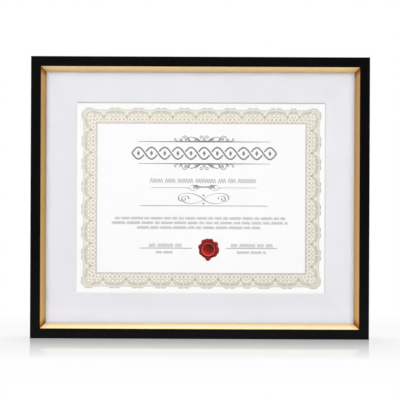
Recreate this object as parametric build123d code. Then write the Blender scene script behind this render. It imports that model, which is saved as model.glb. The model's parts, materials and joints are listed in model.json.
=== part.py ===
from build123d import *
import os

# Landscape certificate frame with an easel back, in millimetres
# The front faces -Y, +Z is up and +X is to the right of a viewer in front
# The origin is the middle of the bottom edge, half way through the depth of the moulding

# Certificate sheet, and the mat that laps its edges
document_width = 279.4
document_height = 215.9
document_thickness = 0.2
window_lap = 6.35
mat_border_side = 40.0
mat_border_top = 41.3
mat_thickness = 1.4
window_offset = 0.8

# Flat pieces in the rabbet, and the room around them
glass_thickness = 2.0
tape_thickness = 0.1
mount_board_thickness = 1.4
filler_thickness = 3.6
panel_thickness = 3.0
panel_recess = 0.3
contents_clearance = 0.8

# Black moulding: a lip at the front and a rabbet wall behind it
rail_back_width = 8.0
lip_reach = 2.8
lip_thickness = 4.0
front_edge_radius = 0.3
lip_edge_radius = 0.3

# Gold slip: a tongue behind the lip and a crowned slope down to the sight edge
slip_tongue = 4.0
slope_width = 5.5
slope_drop = 0.7
slope_crown = 0.1
slip_nose = 2.2

# V-nails driven across the mitres from the back
v_nail_leg = 4.5
v_nail_thickness = 0.6
v_nail_depth = 7.0
v_nail_inset = 1.5
v_nail_clearance = 0.05

# Tape strips over the top edge of the sheet
tape_width = 25.0
tape_height = 20.0
tape_inset = 60.0

# Seal on the sheet: a disc with a raised ring, and lobes of run wax, each at an angle with its reach
seal_offset = 9.2
seal_rise = 52.4
seal_radius = 10.0
seal_upper_lobes = [(35, 12.3), (73, 11.9), (98, 11.8), (121, 12.0), (162, 11.4)]
seal_lower_lobes = [(205, 10.8), (268, 12.5), (322, 11.3), (345, 11.8), (2, 11.7)]
seal_lobe_radius = 3.0
seal_ring_radius = 7.4
seal_ring_width = 1.3
seal_ring_height = 0.35
seal_glass_gap = 0.35

# Turn buttons on the back of the rails, and their screws
turn_button_spacing = 190.0
turn_button_lap = 6.2
turn_button_tip_radius = 3.0
turn_button_margin = 0.2
turn_button_thickness = 1.2
turn_button_edge_radius = 0.3
turn_button_play = 0.1
screw_shank_radius = 1.25
screw_length = 9.0
screw_head_radius = 2.5
screw_head_height = 1.5
screw_head_edge = 0.6
screw_slot_width = 0.6
screw_slot_length = 2.8
screw_slot_depth = 0.7

# Rivets through the panel and the strut
rivet_shank_radius = 1.5
rivet_head_radius = 2.8
rivet_head_height = 0.8
rivet_head_edge = 0.5
seat_clearance = 0.02

# Easel strut and its hinge
strut_opening = 25.0
strut_thickness = 2.5
strut_gap = 0.4
strut_top_width = 56.0
strut_foot_width = 88.0
strut_foot_height = 3.5
strut_corner_radius = 5.0
sheet_metal = 0.8
hinge_width = 50.0
hinge_knuckle = 25.0
knuckle_gap = 0.3
knuckle_relief = 0.6
leaf_height = 22.0
leaf_corner_radius = 3.0
leaf_rivet_inset = 7.0
pin_running_clearance = 0.05
pin_overhang = 0.8
stop_tab_length = 5.2
stop_clearance = 0.2

# D-ring hangers on the panel
hanger_inset = 16.5
hanger_side_inset = 36.0
hanger_to_hinge = 22.0
ring_radius = 9.5
ring_wire_radius = 0.9
ring_play = 0.3
strap_width = 9.0
strap_end_margin = 1.2
strap_corner_radius = 2.0
strap_rivet_land = 1.0

# Wall bumpers at the lower back corners
bumper_inset = 20.0
bumper_margin = 0.8
bumper_proud = 0.3
bumper_edge_radius = 0.5

# Sizes that follow across the face of the frame
window_width = document_width - 2 * window_lap
window_height = document_height - 2 * window_lap
mat_width = window_width + 2 * mat_border_side
mat_height = window_height + 2 * mat_border_top
outer_width = mat_width + 2 * (contents_clearance + rail_back_width)
outer_height = mat_height + 2 * (contents_clearance + rail_back_width)
face_width = rail_back_width + lip_reach
sight_inset = face_width + slope_width
middle_z = outer_height / 2
panel_top = middle_z + mat_height / 2

# Planes that follow through the depth of the frame, from the front to the back
slip_back = lip_thickness + slip_tongue
stack_thickness = (
    glass_thickness
    + mat_thickness
    + document_thickness
    + tape_thickness
    + mount_board_thickness
    + filler_thickness
    + panel_thickness
)
depth = slip_back + stack_thickness + panel_recess
front_y = -depth / 2
back_y = depth / 2
glass_y = front_y + slip_back
mat_y = glass_y + glass_thickness
document_y = mat_y + mat_thickness
tape_y = document_y + document_thickness
mount_y = tape_y + tape_thickness
filler_y = mount_y + mount_board_thickness
panel_y = filler_y + filler_thickness
panel_back = panel_y + panel_thickness

# Turn buttons: the pivot is in the middle of the rail's back
turn_button_pivot = rail_back_width / 2
turn_button_head_radius = turn_button_pivot - turn_button_margin
turn_button_reach = turn_button_pivot + contents_clearance + turn_button_lap - turn_button_tip_radius
turn_button_y = back_y + turn_button_play
screw_head_y = turn_button_y + turn_button_thickness + turn_button_play

# Hangers: the strap is long enough for the ring to hang clear of the rivet
hanger_barrel_radius = ring_wire_radius + ring_play + sheet_metal
hanger_axis_y = panel_back + hanger_barrel_radius
strap_rivet_drop = ring_radius + ring_wire_radius + strap_rivet_land + rivet_head_radius
strap_length = strap_rivet_drop + rivet_head_radius + strap_end_margin
hanger_top_z = panel_top - hanger_inset
hanger_side_x = hanger_side_inset - mat_width / 2

# Hinge: the barrel spans from the panel to the outside of the leaf on the strut
barrel_radius = (strut_gap + strut_thickness + sheet_metal) / 2
pin_radius = barrel_radius - sheet_metal - pin_running_clearance
hinge_y = panel_back + barrel_radius
hinge_z = hanger_top_z - strap_length - hanger_to_hinge - leaf_height
strut_front = panel_back + strut_gap
strut_back = strut_front + strut_thickness
strut_top = hinge_z - barrel_radius - knuckle_relief
leaf_rivet_x = (hinge_knuckle + hinge_width) / 4
leaf_rivet_drop = leaf_height - leaf_rivet_inset

# Bumpers stand just proud of the hardware on the panel
bumper_radius = rail_back_width / 2 - bumper_margin
bumper_height = panel_back + 2 * barrel_radius + rivet_head_height + bumper_proud - back_y

# Where each side of the frame lies, from a bar along X with its outer edge at Z = 0
sides = {
    "bottom": (Pos(0, 0, 0), outer_width),
    "top": (Pos(0, 0, outer_height) * Rot(0, 180, 0), outer_width),
    "left": (Pos(-outer_width / 2, 0, middle_z) * Rot(0, 90, 0), outer_height),
    "right": (Pos(outer_width / 2, 0, middle_z) * Rot(0, -90, 0), outer_height),
}

# Each turn button: the side that it is on, and its place along that side
turn_buttons = {
    "top_left": ("top", turn_button_spacing / 2),
    "top_right": ("top", -turn_button_spacing / 2),
    "bottom_left": ("bottom", -turn_button_spacing / 2),
    "bottom_right": ("bottom", turn_button_spacing / 2),
    "left": ("left", 0.0),
    "right": ("right", 0.0),
}

# Each hanger: the middle of its ring's bar, turned so that the ring points away from the edge
hangers = {
    "top": Pos(0, hanger_axis_y, hanger_top_z),
    "side": Pos(hanger_side_x, hanger_axis_y, middle_z) * Rot(0, -90, 0),
}


def plate(outline, thickness, front):
    """Flat piece drawn as (x, z), with its front face at Y = front."""
    return extrude(Plane.XZ.offset(-front) * outline, -thickness)


def board(width, height, thickness, front, offset=0):
    """Rectangular sheet at half height, with its front face at Y = front and its middle at X = offset."""
    return plate(Pos(offset, middle_z) * Rectangle(width, height), thickness, front)


def rod_y(radius, start, end):
    """Round rod along Y from start to end."""
    return Pos(0, (start + end) / 2, 0) * Rot(90, 0, 0) * Cylinder(radius, end - start)


def rod_x(radius, length):
    """Round rod along X, centred on the origin."""
    return Rot(0, 90, 0) * Cylinder(radius, length)


def headed_rod(shank_radius, start, seat, head_radius, head_height, head_edge):
    """Fastener along Y: a shank from start to its seat, and a rounded head behind the seat."""
    head = rod_y(head_radius, seat, seat + head_height)
    rim = head.edges().group_by(Axis.Y)[-1]
    return rod_y(shank_radius, start, seat) + fillet(rim, head_edge)


def rivet(start, seat):
    return headed_rod(rivet_shank_radius, start, seat, rivet_head_radius, rivet_head_height, rivet_head_edge)


def rivet_hole(start, end):
    return rod_y(rivet_shank_radius + seat_clearance, start, end)


def mitred_bar(section, length):
    """Bar along X with a (depth, inset) section, cut at 45 degrees at both ends."""
    half = length / 2
    corners = [(-half, 0), (half, 0), (half - sight_inset, sight_inset), (sight_inset - half, sight_inset)]
    mitres = extrude(Plane.XZ * make_face(Polyline(*corners, close=True)), depth, both=True)
    return extrude(Plane.YZ * section, half, both=True) & mitres


def moulding_section():
    lip_y = front_y + lip_thickness
    corners = [
        (front_y, 0),
        (front_y, face_width),
        (lip_y, face_width),
        (lip_y, rail_back_width),
        (back_y, rail_back_width),
        (back_y, 0),
    ]
    section = make_face(Polyline(*corners, close=True))
    section = fillet(section.vertices().sort_by_distance(corners[0])[0], front_edge_radius)
    return fillet(section.vertices().sort_by_distance(corners[1])[0], lip_edge_radius)


def slip_section():
    lip_y = front_y + lip_thickness
    slope_start = Vector(front_y + slope_drop, face_width)
    slope_end = Vector(glass_y - slip_nose, sight_inset)
    run = slope_end - slope_start
    out_of_wood = Vector(-run.Y, run.X).normalized()
    slope_middle = (slope_start + slope_end) / 2 + out_of_wood * slope_crown
    slope = ThreePointArc(slope_start, slope_middle, slope_end)
    rest = Polyline(
        slope_end,
        (glass_y, sight_inset),
        (glass_y, rail_back_width),
        (lip_y, rail_back_width),
        (lip_y, face_width),
        slope_start,
    )
    return make_face(slope.edges() + rest.edges())


def v_nail(growth):
    """V-nail at the lower left corner, one leg in each rail, larger all round by growth."""
    thickness = v_nail_thickness + 2 * growth
    leg = v_nail_leg + 2 * growth
    point = rail_back_width - v_nail_inset + growth
    shape = Rectangle(leg, thickness, align=Align.MAX) + Rectangle(thickness, leg, align=Align.MAX)
    reach = v_nail_depth + growth
    return plate(Pos(point - outer_width / 2, point) * shape, reach, back_y - reach)


def v_nails(growth):
    lower_left = v_nail(growth)
    lower = [lower_left, mirror(lower_left, Plane.YZ)]
    return lower + [mirror(nail, Plane.XY.offset(middle_z)) for nail in lower]


def turn_button():
    """Turn button about its own pivot, with its tip inward, seen in the frame of its side."""
    head = Circle(turn_button_head_radius)
    tip = Pos(0, turn_button_reach) * Circle(turn_button_tip_radius)
    blank = plate(make_hull(head.edges() + tip.edges()), turn_button_thickness, turn_button_y)
    blank = fillet(blank.edges().group_by(Axis.Y)[-1], turn_button_edge_radius)
    return blank - rod_y(screw_shank_radius + turn_button_play, front_y, screw_head_y)


def turn_button_screw():
    screw = headed_rod(
        screw_shank_radius,
        back_y - screw_length,
        screw_head_y,
        screw_head_radius,
        screw_head_height,
        screw_head_edge,
    )
    slot_y = screw_head_y + screw_head_height - screw_slot_depth / 2
    slot = Box(screw_slot_length, screw_slot_depth, screw_slot_width)
    cross = slot + Rot(0, 90, 0) * slot
    return screw - Pos(0, slot_y, 0) * cross


def turn_button_place(side, along):
    return sides[side][0] * Pos(along, 0, turn_button_pivot)


def moulding(side):
    place, length = sides[side]
    rail = place * mitred_bar(moulding_section(), length)
    pilot = rod_y(screw_shank_radius + seat_clearance, back_y - screw_length, back_y)
    for button_side, along in turn_buttons.values():
        if button_side == side:
            rail -= turn_button_place(side, along) * pilot
    for slot in v_nails(v_nail_clearance):
        rail -= slot
    return rail


def slip(side):
    place, length = sides[side]
    return place * mitred_bar(slip_section(), length)


def mat_board():
    blank = board(mat_width, mat_height, mat_thickness, mat_y)
    bevel = 2 * mat_thickness
    window_place = Pos(window_offset, middle_z)
    front_edge = window_place * Rectangle(window_width + bevel, window_height + bevel)
    back_edge = window_place * Rectangle(window_width, window_height)
    window = loft([Plane.XZ.offset(-mat_y) * front_edge, Plane.XZ.offset(-document_y) * back_edge])
    return blank - window


def document_tapes():
    sheet_top = middle_z + document_height / 2
    tape_x = document_width / 2 - tape_inset
    strip = Rectangle(tape_width, tape_height)
    places = [Pos(window_offset + x, sheet_top) for x in (-tape_x, tape_x)]
    return [plate(place * strip, tape_thickness, tape_y) for place in places]


def wax_seal():
    height = mat_thickness - seal_glass_gap
    base_height = height - seal_ring_height
    outline = Circle(seal_radius)
    for angle, reach in seal_upper_lobes + seal_lower_lobes:
        outline += Rot(0, 0, angle) * Pos(reach - seal_lobe_radius, 0) * Circle(seal_lobe_radius)
    ring = Circle(seal_ring_radius) - Circle(seal_ring_radius - seal_ring_width)
    seal = plate(outline, base_height, -base_height) + plate(ring, height, -height)
    return Pos(seal_offset, document_y, middle_z - document_height / 2 + seal_rise) * seal


def back_panel():
    panel = board(mat_width, mat_height, panel_thickness, panel_y)
    hole = rivet_hole(panel_y, panel_back)
    for x in (-leaf_rivet_x, leaf_rivet_x):
        panel -= Pos(x, 0, hinge_z + leaf_rivet_drop) * hole
    strap_hole = rivet_hole(panel_y - hanger_axis_y, panel_back - hanger_axis_y)
    for place in hangers.values():
        panel -= place * Pos(0, 0, -strap_rivet_drop) * strap_hole
    return panel


def knuckle(width):
    return Pos(0, hinge_y, hinge_z) * rod_x(barrel_radius, width)


def pin_bore(clearance):
    return Pos(0, hinge_y, hinge_z) * rod_x(pin_radius + clearance, hinge_width)


def leaf_blank(top, height, front):
    """Leaf of the hinge without its knuckles, from its top edge down."""
    outline = Pos(0, top - height / 2) * RectangleRounded(hinge_width, height, leaf_corner_radius)
    return plate(outline, sheet_metal, front)


def easel_panel_leaf():
    """Leaf on the panel, above the barrel, with a knuckle at each end."""
    leaf = leaf_blank(hinge_z + leaf_height, leaf_height, panel_back)
    root = Pos(0, hinge_z + leaf_height / 4) * Rectangle(hinge_width, leaf_height / 2)
    leaf += plate(root, sheet_metal, panel_back)
    leaf += knuckle(hinge_width)
    room_width = hinge_knuckle + 2 * knuckle_gap
    room_height = 2 * (barrel_radius + knuckle_relief)
    leaf -= Pos(0, hinge_y, hinge_z) * Box(room_width, room_height, room_height)
    leaf -= pin_bore(seat_clearance)
    hole = rivet_hole(panel_back, panel_back + sheet_metal)
    for x in (-leaf_rivet_x, leaf_rivet_x):
        leaf -= Pos(x, 0, hinge_z + leaf_rivet_drop) * hole
    return leaf


def stop_tab():
    """Tab on the strut's knuckle, drawn where it meets the leaf on the panel, then folded back to rest."""
    tab_front = panel_back + sheet_metal + stop_clearance - hinge_y
    tab_start = pin_radius
    tab_middle = Pos(0, tab_front + sheet_metal / 2, tab_start + stop_tab_length / 2)
    tab = tab_middle * Box(hinge_knuckle, sheet_metal, stop_tab_length)
    return Pos(0, hinge_y, hinge_z) * Rot(-strut_opening, 0, 0) * tab


def easel_strut_leaf():
    """Leaf on the outside of the strut, with the middle knuckle and the stop tab."""
    leaf = leaf_blank(strut_top, leaf_height, strut_back)
    neck_height = hinge_z - strut_top + leaf_height / 2
    neck = Pos(0, hinge_z - neck_height / 2) * Rectangle(hinge_knuckle, neck_height)
    leaf += plate(neck, sheet_metal, strut_back)
    leaf += knuckle(hinge_knuckle) + stop_tab()
    leaf -= pin_bore(pin_running_clearance)
    hole = rivet_hole(strut_back, strut_back + sheet_metal)
    for x in (-leaf_rivet_x, leaf_rivet_x):
        leaf -= Pos(x, 0, strut_top - leaf_rivet_drop) * hole
    return leaf


def easel_strut():
    corners = [
        (-strut_top_width / 2, strut_top),
        (strut_top_width / 2, strut_top),
        (strut_foot_width / 2, strut_foot_height),
        (-strut_foot_width / 2, strut_foot_height),
    ]
    outline = make_face(Polyline(*corners, close=True))
    strut = plate(fillet(outline.vertices(), strut_corner_radius), strut_thickness, strut_front)
    hole = rivet_hole(strut_front, strut_back)
    for x in (-leaf_rivet_x, leaf_rivet_x):
        strut -= Pos(x, 0, strut_top - leaf_rivet_drop) * hole
    return strut


def easel_hinge_pin():
    return Pos(0, hinge_y, hinge_z) * rod_x(pin_radius, hinge_width + 2 * pin_overhang)


def easel_panel_rivets():
    one = rivet(panel_y, panel_back + sheet_metal)
    return [Pos(x, 0, hinge_z + leaf_rivet_drop) * one for x in (-leaf_rivet_x, leaf_rivet_x)]


def easel_strut_rivets():
    one = rivet(strut_front, strut_back + sheet_metal)
    return [Pos(x, 0, strut_top - leaf_rivet_drop) * one for x in (-leaf_rivet_x, leaf_rivet_x)]


def hanger_strap():
    """Strap about the ring's bar, folded round it, with its flat on the panel below."""
    flat_y = -hanger_barrel_radius
    end = Pos(0, -strap_length / 2) * RectangleRounded(strap_width, strap_length, strap_corner_radius)
    start = Pos(0, -strap_length / 4) * Rectangle(strap_width, strap_length / 2)
    strap = plate(end + start, sheet_metal, flat_y)
    strap += rod_x(hanger_barrel_radius, strap_width)
    strap -= rod_x(ring_wire_radius + ring_play, strap_width)
    return strap - Pos(0, 0, -strap_rivet_drop) * rivet_hole(flat_y, flat_y + sheet_metal)


def hanger_ring():
    """D-ring about its own bar, hanging down."""
    bow = revolve(Pos(ring_radius, 0) * Circle(ring_wire_radius), Axis.Y, 180)
    ring = bow + rod_x(ring_wire_radius, 2 * ring_radius)
    for x in (-ring_radius, ring_radius):
        ring += Pos(x, 0, 0) * Sphere(ring_wire_radius)
    return ring


def hanger_rivets():
    one = rivet(panel_y - hanger_axis_y, sheet_metal - hanger_barrel_radius)
    return [place * Pos(0, 0, -strap_rivet_drop) * one for place in hangers.values()]


def wall_bumpers():
    disc = rod_y(bumper_radius, back_y, back_y + bumper_height)
    disc = fillet(disc.edges().group_by(Axis.Y)[-1], bumper_edge_radius)
    bumper_x = outer_width / 2 - bumper_inset
    return [Pos(x, 0, rail_back_width / 2) * disc for x in (-bumper_x, bumper_x)]


def all_nodes():
    nodes = {}
    for side in sides:
        nodes["moulding_" + side] = [moulding(side)]
        nodes["slip_" + side] = [slip(side)]
    nodes["corner_v_nails"] = v_nails(0)
    nodes["glazing"] = [board(mat_width, mat_height, glass_thickness, glass_y)]
    nodes["mat_board"] = [mat_board()]
    sheet = board(document_width, document_height, document_thickness, document_y, window_offset)
    nodes["certificate"] = [sheet]
    nodes["wax_seal"] = [wax_seal()]
    nodes["document_tapes"] = document_tapes()
    nodes["mount_board"] = [board(mat_width, mat_height, mount_board_thickness, mount_y)]
    nodes["filler_board"] = [board(mat_width, mat_height, filler_thickness, filler_y)]
    nodes["back_panel"] = [back_panel()]
    for name, (side, along) in turn_buttons.items():
        nodes["turn_button_" + name] = [turn_button_place(side, along) * turn_button()]
    screw = turn_button_screw()
    nodes["turn_button_screws"] = [turn_button_place(*spot) * screw for spot in turn_buttons.values()]
    nodes["easel_panel_leaf"] = [easel_panel_leaf()]
    nodes["easel_strut_leaf"] = [easel_strut_leaf()]
    nodes["easel_strut"] = [easel_strut()]
    nodes["easel_hinge_pin"] = [easel_hinge_pin()]
    nodes["easel_panel_rivets"] = easel_panel_rivets()
    nodes["easel_strut_rivets"] = easel_strut_rivets()
    for name, place in hangers.items():
        nodes["hanger_strap_" + name] = [place * hanger_strap()]
        nodes["hanger_ring_" + name] = [place * hanger_ring()]
    nodes["hanger_rivets"] = hanger_rivets()
    nodes["wall_bumpers"] = wall_bumpers()
    return nodes


os.makedirs("parts", exist_ok=True)
for node_name, pieces in all_nodes().items():
    solids = [solid for piece in pieces for solid in piece.solids()]
    export_step(Compound(children=solids), "parts/" + node_name + ".step")
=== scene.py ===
import json
import random
from math import atan2, cos, exp, hypot, log, pi, radians, sin, sqrt, tanh

import bmesh
import bpy
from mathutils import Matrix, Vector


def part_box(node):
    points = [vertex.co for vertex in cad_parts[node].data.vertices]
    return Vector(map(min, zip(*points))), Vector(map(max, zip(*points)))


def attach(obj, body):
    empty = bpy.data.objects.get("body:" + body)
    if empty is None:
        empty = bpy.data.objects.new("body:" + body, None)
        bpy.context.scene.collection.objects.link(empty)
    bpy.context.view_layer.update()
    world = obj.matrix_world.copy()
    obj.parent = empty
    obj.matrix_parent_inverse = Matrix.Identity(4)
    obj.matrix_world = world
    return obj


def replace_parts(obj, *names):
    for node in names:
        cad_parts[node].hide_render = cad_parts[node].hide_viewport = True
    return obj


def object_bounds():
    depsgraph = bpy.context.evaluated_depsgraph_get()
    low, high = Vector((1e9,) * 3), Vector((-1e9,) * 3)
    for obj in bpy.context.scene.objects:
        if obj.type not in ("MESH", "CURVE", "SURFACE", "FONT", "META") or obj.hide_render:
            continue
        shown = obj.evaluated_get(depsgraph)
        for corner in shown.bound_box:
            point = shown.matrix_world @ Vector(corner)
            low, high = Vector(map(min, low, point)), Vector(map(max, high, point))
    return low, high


# Looks of the landscape certificate frame, in metres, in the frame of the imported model
# The front faces -Y, +Z is up and +X is to the right of a viewer in front
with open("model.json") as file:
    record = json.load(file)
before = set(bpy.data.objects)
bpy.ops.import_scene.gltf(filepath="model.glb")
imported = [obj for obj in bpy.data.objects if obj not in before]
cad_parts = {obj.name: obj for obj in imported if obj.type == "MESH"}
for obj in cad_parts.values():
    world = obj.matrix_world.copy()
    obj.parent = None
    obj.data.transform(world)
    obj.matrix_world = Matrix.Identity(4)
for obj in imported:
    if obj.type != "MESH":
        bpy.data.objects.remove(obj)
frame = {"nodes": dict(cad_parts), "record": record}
cad_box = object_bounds()
MM = 0.001
middle_z = (cad_box[0].z + cad_box[1].z) / 2

# Camera: level, far in front, a little below the middle of the frame and turned a quarter of a degree
camera_distance = 2.7
camera_height = 0.1494
camera_roll = radians(0.25)
camera_sight = 100.0
view_width = 0.4297
sensor_width = 36.0

# Studio light: each lamp with the share of white it adds on the frame's front, its distance in metres,
# its azimuth and elevation in degrees, its size, and whether gloss and glass show it
lamps = [
    ("light_left", 0.125, 3.4, -40, 12, 1.4, True),
    ("light_right", 0.15, 3.4, 40, 12, 1.4, True),
    ("light_front", 0.185, 2.6, -12, 4, 0.5, False),
    ("light_key", 0.19, 1.75, 0, 45, 0.7, True),
    ("light_overhead", 0.03, 1.9, 0, 79, 0.9, True),
    ("light_back", 0.38, 2.2, 180, 40, 2.6, True),
]
sky_fill = 0.22

# Room seen in gloss, as grey levels by direction: dim behind the camera, white behind the frame
room_by_depth = [(-1.0, 0.03), (-0.6, 0.08), (-0.32, 0.32), (0.1, 0.45), (0.9, 0.5), (0.975, 1.0)]
room_by_height = [(-0.24, 1.0), (-0.12, 0.0), (0.14, 0.0), (0.32, 0.40)]

# Floor: polished near the frame and plain white away from it; mirror shares by distance from the middle
floor_half = 1.0
floor_gap = 0.02
floor_mirror = [
    (0.0, 0.67), (0.035, 0.63), (0.09, 0.53), (0.15, 0.385), (0.19, 0.305),
    (0.226, 0.25), (0.258, 0.195), (0.29, 0.14), (0.32, 0.088), (0.36, 0.0),
]
floor_mirror_sides = (0.185, 0.24)
floor_mirror_fall_behind = 6.0
floor_mirror_roughness = 0.04
floor_white_near = 0.86
floor_white_reach = (0.2, 0.7)
floor_fade = (-0.98, -0.6)

# Gold slips: how far, in millimetres, the painted shade at a mitre runs along a slip, and how soft its edge
# is
mitre_shade = 8.0
mitre_edge = 0.1

# Grain along a rail or a slip, as a stretch of the texture
grain_x = (0.04, 1, 1)
grain_z = (1, 1, 0.04)

# The sheet: its middle and its front face
sheet_low, sheet_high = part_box("certificate")
sheet_x = (sheet_low.x + sheet_high.x) / 2
sheet_z = (sheet_low.z + sheet_high.z) / 2
sheet_front = sheet_low.y

# Print: heights in millimetres off the paper, one layer above another, and how far each mark sinks in
# Marks of one layer are a hair apart in turn, so that none lies level with another that it crosses
print_sink = 0.05
tint_lift = 0.02
lace_lift = 0.03
arch_lift = 0.04
weave_lift = 0.05
edge_lift = 0.06
dark_lift = 0.07
light_lift = 0.08
mark_step = 0.0008
mark_turns = 12

# How much the border's inks go from lighter at the upper left to darker at the lower right, and over what
# reach in metres
border_tone_slope = 0.13
ink_tone_reach = 0.16

# Border of the sheet, in millimetres from the sheet's middle: a guilloche band of units round four corners
border_middle = (0.5, -0.5)
border_halves = (97.4, 129.3)
border_band = 16.9
border_corner_inside = 0.4
border_corner_outside = 6.5
border_corner_run = 15.5
border_unit = 24.8
border_end = border_unit / 2
border_steps = 30
border_seam = 0.4
border_inside = -8.3
scallop_level = 7.0
scallop_height = 0.7
scallop_flatness = 2

# Sides of the border, clockwise from the top, each with its units, where a half unit fills what is left
half_unit = 0.5
border_sides = [
    [1] * 8 + [half_unit],
    [1] * 6,
    [1] * 2 + [half_unit] + [1] * 6,
    [1] * 6,
]

# Arch of a unit, along and outward from the unit's middle, with the lines woven over it and dropped under it
arch_half = 10.9
arch_crown = 4.2
arch_foot = 2.3
arch_thickness = 2.3
arch_taper = 0.65
arch_steps = 24
weave_strands = 3
weave_share = 0.8
weave_line = 0.28
drops = (1.6, 2.3)
drop_line = 0.22

# Outline of the border: the scallops with their tips, and the lines along the inside
scallop_line = 0.35
inside_line = 0.8
second_line = 0.25
second_line_gap = 1.0
tip_points = [(0.9, 7.7), (2.0, 8.1), (3.6, 8.15), (5.6, 7.75)]
tip_line = 0.75

# Lace of a unit: the rings of a fan about its foot, as radii, and rays across them
fan_foot = -8.2
fan_rings = (3.1, 5.3, 7.5)
fan_rays = (0.25, 0.6, 1.0)
fan_spread = 80
fan_steps = 20
lace_line = 0.16
lace_gap = 0.55

# Lattice of a unit: two strands that cross from pillar to pillar, with a bead in each link
# A bead or pearl has a radius, and a number of points round it
lattice_level = -4.2
lattice_half = 2.4
lattice_reach = 11.3
lattice_links = 5
lattice_short_links = 3
lattice_line = 0.9
lattice_steps = 60
bead = (0.75, 10)

# Other marks of a unit: the pillar at its end, pearls, a bar, branches, a corner's ring and the hem
pillar_points = [(0.0, 0.6), (1.2, -0.4), (1.6, -1.5), (1.3, -2.6), (0.7, -3.5), (0.0, -4.2)]
pearl_places = [(2.25, 0.5), (6.7, 0.0)]
pearl = (1.1, 14)
bar_levels = (2.2, 4.2, 6.2)
bar_line = 0.6
branch_points = [(border_end, 0.9), (border_end - 0.7, 3.0), (border_end - 2.0, 5.4)]
branch_line = 0.8
corner_ring_level = 1.6
corner_ring = 3.7
corner_ring_line = 0.85
corner_pearl = 1.2
rose_level = -5.4
hem_level = -7.0
hem_spacing = 2.1
hem_beads = 4
hem_bead = (0.55, 8)
ring_steps = 40

# Lines of print, in millimetres from the sheet's middle; each rule has the side of it that its flourish is on
heading_u = 3.5
heading_half_width = 78.0
heading_level = 48.0
heading_height = 12.6
heading_stroke = 1.65
heading_links = 11
heading_steps = 24
heading_gap = 2
lozenge_half = (1.7, 3.0)
rule_levels = [(60.5, 1), (36.8, -1)]
rule_half_width = 71.3
rule_thickness = 1.4
rule_tip = 0.45
rule_steps = 40
subtitle_level = 18.3
divider_level = 10.9
swash_middle = (3.0, -1.6)
swash_half_width = 30.0

# Plain lines, for the divider, the name and the signatures: left end, right end, level, thickness
plain_lines = [
    (-53.5, -15.9, divider_level, 0.55),
    (22.9, 60.5, divider_level, 0.55),
    (-65.1, 72.1, -8.6, 0.85),
    (-65.6, -9.4, -54.4, 0.85),
    (27.3, 82.4, -54.4, 0.85),
]

# Rows of small wavy dashes: left end, right end, level of the middle, height of a wave, width of the stroke
dash_rows = [
    (-54.8, 61.8, subtitle_level, 4.6, 0.55),
    (-92.6, 92.1, -22.1, 3.0, 0.42),
    (-95.8, 95.3, -27.1, 3.0, 0.42),
    (-68.8, 66.2, -32.2, 3.0, 0.42),
    (-55.8, -19.1, -51.4, 4.0, 0.5),
    (32.7, 78.1, -51.4, 4.0, 0.5),
    (-48.3, -26.7, -58.8, 2.8, 0.4),
    (39.2, 71.6, -58.8, 2.8, 0.4),
]
wave_share = 0.6
wave_steps = 8
wave_counts = (3, 8)
dash_gap = 0.9
dash_seed = 7

# Flourish on each rule, in millimetres from its middle and off the rule
flourish_ink = 0.62
flourish_base_half = 26.0
flourish_base_level = 0.3
flourish_base_tip = 0.3
flourish_base_thickness = 0.9
flourish_base_steps = 24

# Knot on the divider, in millimetres from its middle: two loops, and a braid that sags between them
knot_loop = ((11.4, -0.2), 4.0, 3.0)
knot_loop_line = 0.4
knot_thin = 0.35
knot_braid_half = 12.0
knot_braid_level = 0.7
knot_braid_sag = 1.7
knot_braid_sway = 0.5
knot_braid_turns = 7
knot_braid_line = 0.65
knot_braid_steps = 96

# Wax seal, in millimetres: the lobes of run wax, each at an angle with its reach, and the stamped dish
seal_middle = (8.4, -55.55)
seal_lobes = [
    (35, 12.3), (73, 11.9), (98, 11.8), (121, 12.0), (162, 11.4),
    (205, 10.8), (268, 12.5), (322, 11.3), (345, 11.8), (2, 11.7),
]
seal_disc = 10.0
seal_lobe_radius = 3.0
seal_blend = 0.2
seal_dish = 6.1
seal_ring = 7.4
seal_ring_height = 0.1
seal_floor = 0.22
seal_rim = 0.42
seal_swell = 0.62
seal_plump = 2.3
seal_valley = 0.35
seal_groove = 0.22
seal_dish_power = 5
seal_folds = [(0.05, 7, 5), (0.04, 13, -4)]
seal_roll = 0.5
seal_roll_power = 2.2
seal_around = 240
seal_dish_rows = 14
seal_ring_rows = 6
seal_rim_rows = 22


def colour(red, green, blue):
    """Linear colour from the usual 0 to 255 values."""
    parts = [value / 255 for value in (red, green, blue)]
    linear = [((p + 0.055) / 1.055) ** 2.4 if p > 0.04045 else p / 12.92 for p in parts]
    return (*linear, 1.0)


def grey(level):
    return (level, level, level, 1.0)


def even(steps):
    """Even shares from 0 to 1."""
    return [i / steps for i in range(steps + 1)]


def spread(half, steps):
    """Even places from -half to half."""
    return [half * (2 * share - 1) for share in even(steps)]


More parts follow.
